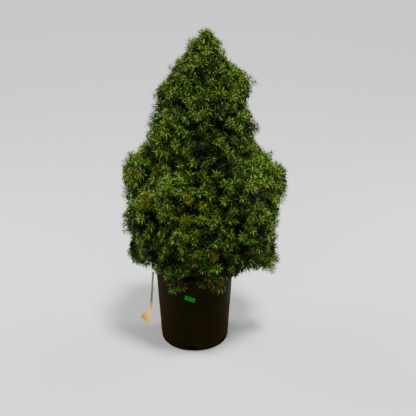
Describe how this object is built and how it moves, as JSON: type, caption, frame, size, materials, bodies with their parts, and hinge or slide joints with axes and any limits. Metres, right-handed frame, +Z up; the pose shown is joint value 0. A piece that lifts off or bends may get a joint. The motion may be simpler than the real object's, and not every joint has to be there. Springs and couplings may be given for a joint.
{
  "type": "potted dwarf Alberta spruce",
  "caption": "Dense cone-shaped dwarf conifer growing in a round plastic nursery pot, with a strip hang tag and a blank price label.",
  "frame": {"origin": "centre of the pot's flat underside", "axes": "+Z up along the pot's axis, -Y towards the plant's front, +X to the viewer's right when facing the front"},
  "size_m": [0.4499, 0.4575, 0.8977],
  "materials": {
    "foliage": "matte",
    "bark": "matte",
    "pot_plastic": "satin",
    "potting_mix": "matte",
    "tag_card": "satin",
    "label_green": "satin"
  },
  "bodies": {
    "root": {"belly_back": "foliage", "belly_back_left": "foliage", "belly_back_right": "foliage", "belly_front": "foliage", "belly_front_left": "foliage", "belly_front_right": "foliage", "bough_belly_back": "bark", "bough_belly_back_left": "bark", "bough_belly_back_right": "bark", "bough_belly_front": "bark", "bough_belly_front_left": "bark", "bough_belly_front_right": "bark", "bough_droop_left": "bark", "bough_droop_right": "bark", "bough_hem_back_left": "bark", "bough_hem_back_right": "bark", "bough_hem_front_left": "bark", "bough_hem_front_right": "bark", "bough_hem_left": "bark", "bough_hem_right": "bark", "bough_waist_back_left": "bark", "bough_waist_back_right": "bark", "bough_waist_front_left": "bark", "bough_waist_front_right": "bark", "bough_waist_left": "bark", "bough_waist_right": "bark", "crest_back_right": "foliage", "crest_front": "foliage", "crest_left": "foliage", "droop_left": "foliage", "droop_right": "foliage", "hang_tag": "tag_card", "hem_back_left": "foliage", "hem_back_right": "foliage", "hem_front_left": "foliage", "hem_front_right": "foliage", "hem_left": "foliage", "hem_right": "foliage", "leader": "foliage", "neck_back": "foliage", "neck_front": "foliage", "neck_left": "foliage", "neck_right": "foliage", "pot": "pot_plastic", "potting_mix": "potting_mix", "price_label": "label_green", "shoulder_back_left": "foliage", "shoulder_back_right": "foliage", "shoulder_front": "foliage", "shoulder_left": "foliage", "shoulder_right": "foliage", "trunk": "bark", "waist_back_left": "foliage", "waist_back_right": "foliage", "waist_front_left": "foliage", "waist_front_right": "foliage", "waist_left": "foliage", "waist_right": "foliage"}
  },
  "joints": []
}
